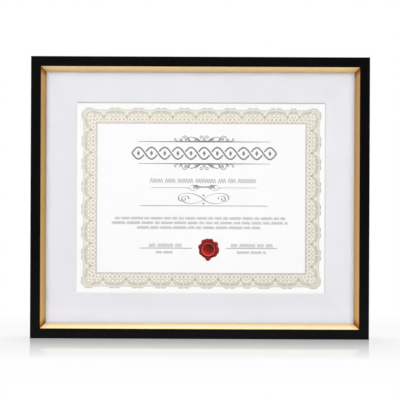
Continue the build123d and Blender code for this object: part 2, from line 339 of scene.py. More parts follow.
class Nodes:
    """Node tree, with short ways to add nodes and join them."""

    def __init__(self, tree):
        self.tree = tree

    def add(self, kind, sockets=(), **settings):
        """A node whose sockets are set to constants or joined to other nodes."""
        node = self.tree.nodes.new("ShaderNode" + kind)
        for name, value in settings.items():
            setattr(node, name, value)
        for socket, value in dict(sockets).items():
            self.put(node, socket, value)
        return node

    def put(self, node, socket, value):
        if isinstance(value, bpy.types.NodeSocket):
            self.tree.links.new(value, node.inputs[socket])
        else:
            node.inputs[socket].default_value = value

    def axes(self, vector):
        node = self.add("SeparateXYZ", {"Vector": vector})
        return [node.outputs[axis] for axis in "XYZ"]

    def length(self, vector):
        return self.add("VectorMath", {0: vector}, operation="LENGTH").outputs["Value"]

    def span(self, source, low, high, start=0.3, end=0.7):
        """Stretches start to end of a value to low to high."""
        sockets = {"Value": source, "From Min": start, "From Max": end, "To Min": low, "To Max": high}
        return self.add("MapRange", sockets).outputs["Result"]

    def maths(self, operation, first, second):
        return self.add("Math", {0: first, 1: second}, operation=operation).outputs["Value"]

    def absolute(self, value):
        return self.maths("ABSOLUTE", value, 0.0)

    def ramp(self, source, *stops):
        node = self.add("ValToRGB", {"Fac": source})
        marks = node.color_ramp.elements
        while len(marks) < len(stops):
            marks.new(0.5)
        for mark, (position, tone) in zip(marks, stops):
            mark.position = position
            mark.color = tone
        return node.outputs["Color"]

    def tones(self, source, *stops):
        """A ramp of colours given by the usual 0 to 255 values."""
        return self.ramp(source, *[(position, colour(*tone)) for position, tone in stops])

    def blend(self, share, first, second):
        """Mixes two colours, each from a node or given by the usual 0 to 255 values."""
        first, second = [colour(*value) if isinstance(value, tuple) else value for value in (first, second)]
        return self.add("Mix", {0: share, 6: first, 7: second}, data_type="RGBA").outputs[2]

    def cover(self, share, layer):
        """Lays another shader over the surface, by a share."""
        sockets = {0: share, 1: self.surface, 2: layer.outputs[0]}
        self.surface = self.add("MixShader", sockets).outputs["Shader"]
        self.put(self.output, "Surface", self.surface)


class Shade(Nodes):
    """Node material around one Principled shader, textured in the piece's own space."""

    def __init__(self, name, **sockets):
        self.material = bpy.data.materials.new(name)
        self.material.use_nodes = True
        super().__init__(self.material.node_tree)
        self.shader = self.tree.nodes["Principled BSDF"]
        self.output = self.tree.nodes["Material Output"]
        self.surface = self.shader.outputs["BSDF"]
        self.space = self.add("TexCoord").outputs
        for socket, value in sockets.items():
            self.feed(value, socket.replace("_", " "))

    def feed(self, value, socket):
        self.put(self.shader, socket, value)

    def stretched(self, stretch):
        sockets = {"Vector": self.space["Object"], "Scale": stretch}
        return self.add("Mapping", sockets).outputs["Vector"]

    def noise(self, scale, detail=4.0, roughness=0.55, stretch=(1, 1, 1), distortion=0.0):
        sockets = {"Scale": scale, "Detail": detail, "Roughness": roughness, "Distortion": distortion}
        sockets["Vector"] = self.stretched(stretch)
        return self.add("TexNoise", sockets).outputs["Fac"]

    def cells(self, scale, stretch=(1, 1, 1)):
        sockets = {"Vector": self.stretched(stretch), "Scale": scale}
        return self.add("TexVoronoi", sockets).outputs["Distance"]

    def waves(self, scale, direction):
        sockets = {"Vector": self.space["Object"], "Scale": scale}
        return self.add("TexWave", sockets, bands_direction=direction).outputs["Fac"]

    def paint(self, source, dark, light):
        """Colours the surface from dark to light by a value."""
        self.feed(self.tones(source, (0.3, dark), (0.7, light)), "Base Color")

    def roughen(self, source, low, high, start=0.3, end=0.7):
        self.feed(self.span(source, low, high, start, end), "Roughness")

    def bumped(self, height, depth_mm, strength):
        """The material, with a fine relief."""
        sockets = {"Height": height, "Strength": strength, "Distance": depth_mm * MM}
        self.feed(self.add("Bump", sockets).outputs["Normal"], "Normal")
        return self.material


def black_lacquer(name, stretch):
    """Satin black lacquer over wood, with the grain just showing along the rail."""
    shade = Shade(name, Specular_IOR_Level=0.07)
    grain = shade.noise(260, detail=5, stretch=stretch)
    shade.paint(shade.noise(35), (10, 10, 10), (14, 13, 13))
    shade.roughen(grain, 0.20, 0.28)
    return shade.bumped(grain, 0.03, 0.2)


def gold_foil(name, stretch):
    """Burnished gold foil, streaked along the slip, with painted light: painted highlights on faces turned up
    and down, painted shade at the sight edge and the mitres.
    """
    shade = Shade(name, Metallic=1.0)
    streaks = shade.noise(2600, roughness=0.6, stretch=stretch)
    patches = shade.noise(70, detail=6, distortion=0.4)
    tones = [(0.3, (232, 187, 122)), (0.55, (237, 194, 130)), (0.75, (242, 202, 140))]
    foil = shade.tones(streaks, *tones)
    facing = shade.axes(shade.space["Normal"])[2]
    # Painted highlights: foil turned up and foil turned down is paler, as if lit from above and below
    up = shade.span(facing, 0.0, 0.8, start=0.02, end=0.12)
    down = shade.span(facing, 0.8, 0.0, start=-0.12, end=-0.02)
    upward_highlit_foil = shade.blend(up, foil, (238, 224, 182))
    pale = shade.blend(down, upward_highlit_foil, (254, 228, 172))
    worn = shade.span(patches, 0.0, 0.25, start=0.55, end=0.8)
    rubbed_and_highlit_foil = shade.blend(worn, pale, (216, 168, 104))
    x, y, z = shade.axes(shade.space["Object"])
    low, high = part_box("slip_top")
    upright = shade.absolute(shade.maths("SUBTRACT", z, middle_z))
    from_side = shade.maths("SUBTRACT", high.x, shade.absolute(x))
    from_end = shade.maths("SUBTRACT", high.z - middle_z, upright)
    across = shade.maths("MINIMUM", from_side, from_end)
    width = high.z - low.z
    # Painted shade: the foil is browner along the sight edge, next to the mat
    sight_painted_shade = shade.span(across, 0.0, 0.4, start=0.55 * width, end=width)
    shaded = shade.blend(sight_painted_shade, rubbed_and_highlit_foil, (176, 124, 66))
    # Painted shade at the mitres: one slip's end is browner next to the mitre line
    past_mitre = shade.maths("SUBTRACT", from_end, from_side)
    reach = mitre_shade * MM
    beside = shade.span(shade.absolute(past_mitre), 1.0, 0.0, start=0.2 * reach, end=reach)
    lower = shade.span(past_mitre, 0.2, 0.95, start=-mitre_edge * MM, end=mitre_edge * MM)
    corner = shade.maths("MULTIPLY", beside, lower)
    shade.feed(shade.blend(corner, shaded, (160, 92, 20)), "Base Color")
    shade.roughen(streaks, 0.42, 0.50)
    return shade.bumped(streaks, 0.01, 0.25)


def clear_glass():
    """Thin pane: clear to lamps and to scattered light, with its own faint reflection."""
    shade = Shade("clear_glass", Roughness=0.0, IOR=1.5, Transmission_Weight=1.0)
    shade.paint(shade.noise(18), (252, 254, 253), (254, 255, 255))
    path = shade.add("LightPath").outputs
    through = shade.add("BsdfTransparent")
    for ray in ("Is Diffuse Ray", "Is Shadow Ray"):
        shade.cover(path[ray], through)
    return shade.material


def mat_paper():
    """Cool grey mat paper with a fine tooth. The bevel shows a white core, with painted shade where it faces
    down and, less, where it faces left.
    """
    shade = Shade("mat_paper", Roughness=0.85, Specular_IOR_Level=0.25)
    tooth = shade.noise(1600, detail=3)
    face = shade.tones(shade.noise(40), (0.3, (231, 230, 235)), (0.7, (234, 233, 238)))
    x, y, z = shade.axes(shade.space["Normal"])
    cut = shade.span(shade.absolute(y), 1.0, 0.0, start=0.8, end=0.95)
    # Painted shade on the bevel's white core where it faces down, and less where it faces left
    lean = shade.maths("ADD", z, shade.maths("MULTIPLY", x, 0.5))
    painted_shade_turned_down = shade.span(lean, 1.0, 0.0, start=-0.7, end=-0.05)
    core_and_painted_shade = shade.blend(painted_shade_turned_down, (240, 239, 236), (208, 210, 203))
    shade.feed(shade.blend(cut, face, core_and_painted_shade), "Base Color")
    return shade.bumped(tooth, 0.03, 0.4)


def certificate_paper():
    """Smooth white paper with faint fibres."""
    shade = Shade("certificate_paper", Roughness=0.6, Specular_IOR_Level=0.3)
    shade.paint(shade.noise(22), (252, 250, 251), (254, 252, 253))
    return shade.bumped(shade.noise(900, detail=5, stretch=(1, 1, 0.35)), 0.02, 0.25)


def ink(name, light, dark, tone_slope=0.0):
    """Printed ink that varies a little in density, and may go from lighter at the upper left to darker at the
    lower right.
    """
    shade = Shade(name, Roughness=0.55, Specular_IOR_Level=0.2)
    x, y, z = shade.axes(shade.space["Object"])
    # Lighter towards the upper left, darker towards the lower right
    across = shade.maths("SUBTRACT", x, z)
    ends = (-ink_tone_reach - sheet_z, ink_tone_reach - sheet_z)
    faded = shade.span(across, tone_slope, -tone_slope, *ends)
    density = shade.maths("ADD", shade.noise(500, detail=5), faded)
    shade.paint(density, dark, light)
    return shade.material


def red_wax():
    """Glossy red sealing wax, with painted light: painted shade in the thin valleys and folds and round the
    ring, painted shade at the top of the dish, and a paler stamped ring with a painted highlight towards the
    lower left.
    """
    shade = Shade("red_wax", Specular_IOR_Level=0.14, Coat_Weight=0.1, Coat_Roughness=0.1)
    x, y, z = shade.axes(shade.space["Object"])
    flat = shade.add("CombineXYZ", {"X": x, "Z": z})
    radius = shade.length(flat.outputs["Vector"])
    swirl = shade.noise(170, detail=5, distortion=0.9)
    fine = shade.noise(900, detail=3)
    thickness = shade.maths("MULTIPLY", y, -1 / MM)
    depth = shade.maths("ADD", thickness, shade.span(swirl, -0.22, 0.22))
    # Painted shade by thickness: darker in the valleys and folds, lighter on the plump crowns
    rim_shade_tones = [(0.1, (140, 6, 18)), (0.45, (98, 1, 8)), (0.95, (178, 10, 22))]
    rim_with_painted_shade = shade.tones(depth, *rim_shade_tones)
    tilted = shade.maths("ADD", z, shade.maths("MULTIPLY", x, 0.55))
    wavering = shade.maths("ADD", tilted, shade.span(swirl, -0.0010, 0.0010))
    # Painted shade: the top of the dish is dark brown, the bottom bright red
    dish_painted_shade = shade.span(wavering, 0.0, 1.0, start=-0.0050, end=0.0042)
    dish_tones = [(0.0, (206, 18, 26)), (0.45, (140, 20, 18)), (0.85, (70, 32, 8))]
    dish = shade.tones(dish_painted_shade, *dish_tones)
    inside = shade.span(radius, 1.0, 0.0, start=(seal_dish - 0.3) * MM, end=seal_dish * MM)
    # Painted shade: a dark band round the outside of the stamped ring
    ring_painted_shade = shade.span(radius, 0.85, 0.0, start=(seal_ring + 0.3) * MM, end=(seal_ring + 2.3) * MM)
    body = shade.blend(inside, shade.blend(ring_painted_shade, rim_with_painted_shade, (116, 4, 3)), dish)
    # The stamped ring is paler, with a painted highlight that is strongest towards the lower left
    crest = (seal_dish + seal_ring) / 2 * MM
    ring_half = (seal_ring - seal_dish) / 2 * MM
    off_crest = shade.absolute(shade.maths("SUBTRACT", radius, crest))
    on_ring = shade.span(off_crest, 1.0, 0.0, start=ring_half * 0.1, end=ring_half * 0.55)
    ring_painted_highlight = shade.span(tilted, 1.0, 0.55, start=-seal_dish * MM, end=seal_dish * MM)
    crest_share = shade.maths("MULTIPLY", on_ring, ring_painted_highlight)
    shade.feed(shade.blend(crest_share, body, (252, 152, 122)), "Base Color")
    shade.roughen(fine, 0.20, 0.34)
    return shade.bumped(fine, 0.03, 0.3)


def paper_tape():
    shade = Shade("paper_tape", Roughness=0.8)
    crepe = shade.noise(700, stretch=(0.3, 1, 1))
    shade.paint(crepe, (226, 217, 192), (242, 235, 214))
    return shade.bumped(crepe, 0.04, 0.5)


def white_board():
    shade = Shade("white_board", Roughness=0.85)
    fibres = shade.noise(800, detail=5)
    shade.paint(fibres, (232, 228, 217), (241, 239, 230))
    return shade.bumped(fibres, 0.03, 0.4)


def corrugated_board():
    """Kraft liner over flutes that run up the board."""
    shade = Shade("corrugated_board", Roughness=0.9)
    flutes = shade.waves(45, "X")
    fibres = shade.noise(600, detail=5, stretch=(1, 1, 0.3))
    tone = shade.tones(fibres, (0.3, (172, 133, 90)), (0.7, (200, 162, 116)))
    shadow = shade.span(flutes, 0.0, 0.25, start=0.0, end=1.0)
    shade.feed(shade.blend(shadow, tone, (150, 112, 74)), "Base Color")
    return shade.bumped(flutes, 0.15, 0.5)


def brown_hardboard():
    """Pressed wood fibre: a warm brown with dark and light fibres, and a faint sheen."""
    shade = Shade("brown_hardboard", Specular_IOR_Level=0.35)
    fibres = shade.noise(420, detail=8, roughness=0.7, distortion=0.6)
    flecks = shade.cells(900, stretch=(1, 1, 0.4))
    cloud = shade.noise(14, detail=3)
    base = shade.tones(cloud, (0.3, (118, 82, 54)), (0.7, (134, 96, 64)))
    tones = [(0.32, (92, 60, 38)), (0.5, (126, 88, 58)), (0.7, (160, 120, 82))]
    share = shade.span(flecks, 0.35, 0.75, start=0.1, end=0.6)
    shade.feed(shade.blend(share, base, shade.tones(fibres, *tones)), "Base Color")
    shade.roughen(fibres, 0.48, 0.7)
    return shade.bumped(fibres, 0.06, 0.4)


def black_hardboard():
    """Black embossed paper over hardboard, with a pebbled leather grain."""
    shade = Shade("black_hardboard", Specular_IOR_Level=0.4)
    pebbles = shade.cells(850)
    shade.paint(shade.noise(60), (27, 26, 26), (38, 37, 36))
    shade.roughen(pebbles, 0.42, 0.62, start=0.0, end=0.6)
    return shade.bumped(pebbles, 0.12, 0.7)


def plated_steel(name, dark, light, low, high):
    """Plated sheet steel with fine rolling lines and cloudy patches."""
    shade = Shade(name, Metallic=1.0)
    lines = shade.noise(900, stretch=(0.15, 1, 1))
    shade.paint(shade.noise(160, detail=5), dark, light)
    shade.roughen(lines, low, high)
    return shade.bumped(lines, 0.02, 0.35)


def black_rubber():
    shade = Shade("black_rubber", Specular_IOR_Level=0.3)
    dust = shade.noise(300, detail=6)
    shade.feed(shade.tones(dust, (0.35, (30, 30, 31)), (0.75, (52, 51, 50))), "Base Color")
    shade.roughen(dust, 0.6, 0.8)
    return shade.bumped(dust, 0.05, 0.4)


def floor_material():
    """White floor that mirrors what stands on it, less with distance and hardly behind, and keeps its shadow.

    In mirrored views it fades out in front, where the studio is dim.
    """
    shade = Shade("floor", Base_Color=grey(0.9), Roughness=0.9, Specular_IOR_Level=0.0)
    x, y, z = shade.axes(shade.space["Object"])
    before = shade.maths("MULTIPLY", y, -1.0)
    behind = shade.maths("MULTIPLY", y, floor_mirror_fall_behind)
    away = shade.maths("MAXIMUM", before, behind)
    reach = floor_mirror[-1][0]
    stops = [(distance / reach, grey(share)) for distance, share in floor_mirror]
    mirror = shade.ramp(shade.span(away, 0.0, 1.0, start=0.0, end=reach), *stops)
    white = shade.span(shade.length(shade.space["Object"]), floor_white_near, 1.0, *floor_white_reach)
    path = shade.add("LightPath").outputs
    seen = path["Is Camera Ray"]
    for ray in ("Is Glossy Ray", "Is Transmission Ray"):
        seen = shade.maths("MAXIMUM", seen, path[ray])
    beside = shade.span(shade.absolute(x), 1.0, 0.0, *floor_mirror_sides)
    grazing = shade.add("LayerWeight").outputs["Facing"]
    for share in (beside, path["Is Camera Ray"], shade.maths("POWER", grazing, 2.0)):
        mirror = shade.maths("MULTIPLY", mirror, share)
    front = shade.span(y, 1.0, 0.0, *floor_fade)
    shade.cover(shade.maths("MULTIPLY", white, seen), shade.add("Emission"))
    shade.cover(mirror, shade.add("BsdfGlossy", {"Roughness": floor_mirror_roughness}))
    faded = shade.maths("MULTIPLY", front, path["Is Glossy Ray"])
    shade.cover(faded, shade.add("BsdfTransparent"))
    return shade.material


def add_object(name, data):
    """An object in the scene."""
    thing = bpy.data.objects.new(name, data)
    bpy.context.scene.collection.objects.link(thing)
    return thing


def make_piece(name, corners, faces, material, body):
    """A mesh piece in the frame of the model that rides on a body."""
    mesh = bpy.data.meshes.new(name)
    mesh.from_pydata(corners, [], faces)
    tidy = bmesh.new()
    tidy.from_mesh(mesh)
    bmesh.ops.recalc_face_normals(tidy, faces=tidy.faces)
    tidy.to_mesh(mesh)
    tidy.free()
    mesh.materials.append(material)
    piece = add_object(name, mesh)
    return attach(piece, body)


def oval(middle, half_u, half_v, points):
    """Points of an oval."""
    turns = [2 * pi * i / points for i in range(points)]
    return [(middle[0] + half_u * cos(turn), middle[1] + half_v * sin(turn)) for turn in turns]


def path_runs(path, closed=False):
    """Run of a path at each point, from the point before to the point after."""
    last = len(path) - 1
    runs = []
    for i in range(last + 1):
        before = path[i - 1 if i or closed else 0]
        after = path[(i + 1) % (last + 1) if i < last or closed else last]
        runs.append((after[0] - before[0], after[1] - before[1]))
    return runs


class Print:
    """Flat marks on the sheet, gathered into one mesh. Places are (u, v) from the sheet's middle."""

    def __init__(self, lift):
        self.lift = lift
        self.marks = 0
        self.corners = []
        self.faces = []

    def place(self, point, lift):
        self.corners.append((sheet_x + point[0] * MM, sheet_front - lift * MM, sheet_z + point[1] * MM))

    def next_lift(self):
        self.marks += 1
        return self.lift + self.marks % mark_turns * mark_step

    def ribbon(self, lefts, rights, closed=False):
        """A thin solid between two lines of points."""
        start = len(self.corners)
        count = len(lefts)
        lift = self.next_lift()
        for left, right in zip(lefts, rights):
            self.place(left, lift)
            self.place(right, lift)
            self.place(right, -print_sink)
            self.place(left, -print_sink)
        for i in range(count if closed else count - 1):
            here = start + 4 * i
            there = start + 4 * ((i + 1) % count)
            for k in range(4):
                m = (k + 1) % 4
                self.faces.append((here + k, there + k, there + m, here + m))
        if not closed:
            for first in (start, start + 4 * (count - 1)):
                self.faces.append(tuple(range(first, first + 4)))

    def stroke(self, path, widths, closed=False):
        """A stroke along a path, with one width or a width at each point."""
        if isinstance(widths, (int, float)):
            widths = [widths] * len(path)
        lefts = []
        rights = []
        for (u, v), (run_u, run_v), width in zip(path, path_runs(path, closed), widths):
            half = width / 2 / hypot(run_u, run_v)
            lefts.append((u - run_v * half, v + run_u * half))
            rights.append((u + run_v * half, v - run_u * half))
        self.ribbon(lefts, rights, closed)

    def patch(self, outline):
        """A filled outline."""
        start = len(self.corners)
        count = len(outline)
        for lift in (self.next_lift(), -print_sink):
            for point in outline:
                self.place(point, lift)
        top = list(range(start, start + count))
        under = [corner + count for corner in top]
        self.faces.append(tuple(top))
        self.faces.append(tuple(under))
        for i in range(count):
            j = (i + 1) % count
            self.faces.append((top[i], top[j], under[j], under[i]))

    def spot(self, middle, half_u, half_v, points=16):
        """A filled oval, or a lozenge with four points."""
        self.patch(oval(middle, half_u, half_v, points))

    def dot(self, middle, radius, points=16):
        self.spot(middle, radius, radius, points)


def print_piece(name, lift, material, draw, *places):
    """A printed piece of the marks that a function draws."""
    marks = Print(lift)
    draw(marks, *places)
    make_piece("print_" + name, marks.corners, marks.faces, material, "frame")


def border_reach(side):
    """Distance of a side from the border's middle, at the middle of the band."""
    return border_halves[side % 2] - border_band / 2


def side_place(side, along, out):
    """Point of a side of the border, from the side's middle clockwise, and outward from the band's middle."""
    directions = ((0, 1), (1, 0), (0, -1), (-1, 0))
    out_u, out_v = directions[side]
    run_u, run_v = directions[(side + 1) % 4]
    reach = border_reach(side) + out
    u = border_middle[0] + out_u * reach + run_u * along
    v = border_middle[1] + out_v * reach + run_v * along
    return u, v


def corner_place(side, share, out):
    """Point round the corner after a side, at a share from -1 at its last pillar to 1 at the next pillar."""
    bend_radius = border_corner_inside
    bend_radius += (border_corner_outside - border_corner_inside) * (0.5 + out / border_band)
    leg = border_corner_run + out - bend_radius
    half_bend = bend_radius * pi / 4
    run = share * (leg + half_bend)
    following = (side + 1) % 4
    start = border_reach(following) + out - bend_radius
    if run < -half_bend:
        return side_place(side, start + run + half_bend, out)
    if run > half_bend:
        return side_place(following, -border_reach(side) - out + bend_radius + run - half_bend, out)
    angle = (run + half_bend) / bend_radius
    return side_place(side, start + bend_radius * sin(angle), out - bend_radius * (1 - cos(angle)))


def side_chart(side, middle, stretch):
    return lambda along, out: side_place(side, middle + along * stretch, out)


def corner_chart(side):
    return lambda along, out: corner_place(side, 2 * along / border_unit, out)


class Unit:
    """A unit of the border, with a chart from its own places, along and outward, to places on the sheet."""

    def __init__(self, chart, links=lattice_links, corner=False):
        self.chart = chart
        self.links = links
        self.corner = corner

    def line(self, points, side=1):
        return [self.chart(side * along, out) for along, out in points]


def border_units():
    """All units, clockwise."""
    units = []
    for side, shares in enumerate(border_sides):
        half_run = border_reach((side + 1) % 4) - border_corner_run
        full = 2 * half_run / sum(shares)
        start = -half_run
        for share in shares:
            links = lattice_short_links if share == half_unit else lattice_links
            units.append(Unit(side_chart(side, start + share * full / 2, share * full / border_unit), links))
            start += share * full
        units.append(Unit(corner_chart(side), corner=True))
    return units


def border_line(units, out_at):
    """Closed line round the border. out_at gives its distance outside the band's middle along a unit."""
    alongs = [border_unit * (i / border_steps - 0.5) for i in range(border_steps)]
    points = [(along, out_at(along)) for along in alongs]
    return [place for unit in units for place in unit.line(points)]


def level_line(units, level):
    return border_line(units, lambda along: level)


def scallop_edge(along):
    """Flat-topped wave of the border's outer edge."""
    wave = cos(2 * pi * along / border_unit)
    swing = tanh(scallop_flatness * wave) / tanh(scallop_flatness)
    return scallop_level + scallop_height * swing


def arch_edge(along, share=0):
    """Level of a unit's arch, which thins to its feet: its middle, or a share of the way to its edge."""
    run = (along / arch_half) ** 2
    middle = arch_crown - (arch_crown - arch_foot) * run
    return middle + share * arch_thickness / 2 * (1 - arch_taper * run)


def border_arches(marks, units):
    """An olive arch in each unit."""
    alongs = spread(arch_half, arch_steps)
    for unit in units:
        marks.ribbon(*[unit.line([(along, arch_edge(along, side)) for along in alongs]) for side in (1, -1)])


def border_weave(marks, units):
    """Fine lines woven over each arch, and others dropped under it."""
    alongs = spread(arch_half, arch_steps)
    for unit in units:
        for strand in range(weave_strands):
            shift = 2 * pi * strand / weave_strands
            turns = [sin(4 * pi * along / arch_half + shift) for along in alongs]
            points = [(along, arch_edge(along, weave_share * turn)) for along, turn in zip(alongs, turns)]
            marks.stroke(unit.line(points), weave_line)
        for drop in drops:
            marks.stroke(unit.line([(along, arch_edge(along) - drop) for along in alongs]), drop_line)


def border_edges(marks, units):
    """Fine scalloped outline with darker tips, and straight lines along the inside."""
    marks.stroke(border_line(units, scallop_edge), scallop_line, closed=True)
    marks.stroke(level_line(units, border_inside), inside_line, closed=True)
    marks.stroke(level_line(units, border_inside + second_line_gap), second_line, closed=True)
    for unit in units:
        for side in (-1, 1):
            marks.stroke(unit.line(tip_points, side), tip_line)


def fan_place(radius, angle):
    """Point of a unit's fan, at a distance from its foot and a lean in degrees."""
    lean = radians(angle)
    return radius * sin(lean), fan_foot + radius * cos(lean)


def border_lace(marks, units):
    """Fine lines behind the lattice: arcs along the rings of each fan and rays across them."""
    angles = spread(fan_spread, fan_steps)
    rays = [share * fan_rings[-1] for share in fan_rays]
    for unit in units:
        for radius in fan_rings:
            for gap in (-lace_gap, lace_gap):
                marks.stroke(unit.line([fan_place(radius + gap, angle) for angle in angles]), lace_line)
        for angle in angles[::2]:
            marks.stroke(unit.line([fan_place(radius, angle) for radius in rays]), lace_line)


def lattice_strand(links, half):
    """A strand of the lattice in a unit, which winds about a level from one pillar to the next."""
    swings = [half * sin(pi * links * share) for share in even(lattice_steps)]
    alongs = spread(lattice_reach, lattice_steps)
    return [(along, lattice_level + swing) for along, swing in zip(alongs, swings)]


def border_darks(marks, units):
    """Dark marks: a pillar at the end of each unit, a bead in each link of the lattice and a hem of beads."""
    pillar = [(border_end - x, y) for x, y in pillar_points]
    pillar += [(border_end + x, y) for x, y in pillar_points[-2:0:-1]]
    hem = [(hem_spacing * (i + 0.5), hem_level) for i in range(hem_beads)]
    for unit in units:
        marks.patch(unit.line(pillar))
        for i in range(unit.links):
            along = lattice_reach * ((2 * i + 1) / unit.links - 1)
            marks.dot(unit.chart(along, lattice_level), *bead)
        for side in (-1, 1):
            for middle in unit.line(hem, side):
                marks.dot(middle, *hem_bead)


def border_lights(marks, units):
    """Cream tracery: the lattice, a ring in each corner or a bar, pearls, and a Y between units."""
    for unit in units:
        for half in (-lattice_half, lattice_half):
            marks.stroke(unit.line(lattice_strand(unit.links, half)), lattice_line)
        if unit.corner:
            middle = unit.chart(0, corner_ring_level)
            marks.stroke(oval(middle, corner_ring, corner_ring, ring_steps), corner_ring_line, closed=True)
            marks.dot(middle, corner_pearl)
        else:
            marks.stroke(unit.line([(0, level) for level in bar_levels]), bar_line)
        for side in (-1, 1):
            for middle in unit.line(pearl_places, side):
                marks.dot(middle, *pearl)
            marks.stroke(unit.line(branch_points, side), branch_line)


def print_border():
    """The printed border: pale tints from its outer edge to its inner one, and layers of marks over them."""
    units = border_units()
    lines = [border_line(units, scallop_edge)]
    lines += [level_line(units, level) for level in (border_seam, rose_level, border_inside)]
    tints = [
        ("olive", (233, 229, 218), (220, 217, 207)),
        ("stone", (231, 224, 213), (217, 211, 201)),
        ("rose", (235, 225, 216), (220, 210, 202)),
    ]
    for (name, light, dark), outside, inside in zip(tints, lines, lines[1:]):
        pale = ink("ink_pale_" + name, light, dark, border_tone_slope)
        print_piece("border_tint_" + name, tint_lift, pale, Print.ribbon, outside, inside, True)
    layers = [
        (border_arches, arch_lift, "light_olive", (215, 210, 194), (202, 197, 182)),
        (border_weave, weave_lift, "olive", (203, 198, 178), (190, 185, 167)),
        (border_edges, edge_lift, "mauve_grey", (215, 207, 202), (197, 189, 186)),
        (border_lace, lace_lift, "lace", (206, 197, 183), (188, 180, 168)),
        (border_darks, dark_lift, "umber", (206, 197, 184), (191, 182, 171)),
        (border_lights, light_lift, "cream", (253, 247, 237), (247, 240, 229)),
    ]
    for draw, lift, tone, light, dark in layers:
        print_piece(draw.__name__, lift, ink("ink_" + tone, light, dark, border_tone_slope), draw, units)


def bezier(start, first, second, end, steps=28):
    path = []
    for b in even(steps):
        a = 1 - b
        weights = (a**3, 3 * a * a * b, 3 * a * b * b, b**3)
        points = (start, first, second, end)
        path.append(tuple(sum(w * p[axis] for w, p in zip(weights, points)) for axis in (0, 1)))
    return path


def curl(middle, radius, start, turns, end_share=0.35, steps=26):
    """Line that winds into a curl from an angle in degrees. Turns below nought wind clockwise."""
    path = []
    for share in even(steps):
        angle = radians(start) + 2 * pi * turns * share
        reach = radius * (1 - (1 - end_share) * share)
        path.append((middle[0] + reach * cos(angle), middle[1] + reach * sin(angle)))
    return path


def swelled(path, thin, thick):
    """Widths of a stroke that swells in its middle."""
    last = len(path) - 1
    return [thin + (thick - thin) * sin(pi * i / last) for i in range(last + 1)]


def flourish_strokes():
    """Strokes of one half of the flourish, with thin and thick widths, from the middle outward."""
    stem = bezier((-3.6, 0.7), (-1.4, 0.9), (0.9, 2.2), (1.25, 4.7))
    scroll = stem[:-1] + curl((3.15, 4.7), 1.9, 180, -0.95)
    leaf = bezier((4.6, 0.8), (7.6, 0.8), (7.8, 4.6), (11.0, 4.7))
    arch = bezier((9.2, 0.7), (10.2, 6.4), (17.6, 6.4), (17.3, 0.8))
    rise = bezier((26.0, 0.5), (24.6, 0.5), (23.9, 1.8), (23.7, 3.5))
    big_curl = rise[:-1] + curl((20.6, 3.5), 3.1, 0, 0.8, 0.6)
    almond = bezier((19.0, 1.2), (19.4, 3.0), (20.6, 3.4), (21.6, 5.2))
    tail = bezier((22.6, 0.5), (26.0, 0.6), (25.0, 3.2), (27.4, 3.0))
    run = bezier((25.6, 0.5), (28.6, 0.6), (30.2, 0.7), (31.2, 1.5))
    tip = run[:-1] + curl((31.0, 2.7), 1.25, -80, 0.85)
    sprig = bezier((3.4, 0.7), (5.4, 1.0), (6.6, 2.2), (7.2, 3.9))
    bud = curl((8.3, 2.2), 1.25, 200, -0.9)
    fern = bezier((14.6, 0.7), (16.4, 1.4), (17.2, 3.2), (18.0, 5.2))
    lines = [(path, flourish_ink, 1.2 * flourish_ink) for path in (scroll, arch, big_curl, tip, bud)]
    leaves = (leaf, almond, tail, sprig, fern)
    return lines + [(path, 0.5 * flourish_ink, 2.1 * flourish_ink) for path in leaves]


def flourish(marks, level, side):
    """Scrolls on a rule, above it or below it, the same on both sides of the middle."""
    for path, thin, thick in flourish_strokes():
        for hand in (-1, 1):
            line = [(heading_u + hand * u, level + side * v) for u, v in path]
            marks.stroke(line, swelled(line, thin, thick))
    base_level = level + side * flourish_base_level
    base = [(heading_u + along, base_level) for along in spread(flourish_base_half, flourish_base_steps)]
    swell = swelled(base, 0.0, 1.0)
    marks.stroke(base, [flourish_base_tip + share**0.4 * flourish_base_thickness for share in swell])


def tapered_rule(marks, level):
    turns = spread(1, rule_steps)
    path = [(heading_u + rule_half_width * turn, level) for turn in turns]
    marks.stroke(path, [rule_tip + (rule_thickness - rule_tip) * (1 - abs(turn)) for turn in turns])


def ornaments(marks):
    """The rules over and under the heading, each with its flourish, and the knot on the divider."""
    for level, side in rule_levels:
        tapered_rule(marks, level)
        flourish(marks, level, side)
    divider_knot(marks)


def rules(marks):
    """The divider on both sides of its knot, the line for the name and the lines for signatures."""
    for left, right, level, thickness in plain_lines:
        marks.stroke([(left, level), ((left + right) / 2, level), (right, level)], thickness)


def heading_braid(marks):
    """Two strands that cross over and under each other, with a lozenge in each link."""
    link = 2 * heading_half_width / heading_links
    left = heading_u - heading_half_width
    for strand in (1, -1):
        unders = [i * heading_steps for i in range(1, heading_links) if (i % 2 == 0) == (strand == 1)]
        starts = [0] + [under + heading_gap for under in unders]
        ends = [under - heading_gap for under in unders] + [heading_links * heading_steps]
        for start, end in zip(starts, ends):
            path = []
            for i in range(start, end + 1):
                sweep = strand * sin(pi * i / heading_steps) * heading_height / 2
                path.append((left + link * i / heading_steps, heading_level + sweep))
            marks.stroke(path, heading_stroke)
    for i in range(heading_links):
        middle = (left + link * (i + 0.5), heading_level)
        marks.spot(middle, *lozenge_half, points=4)


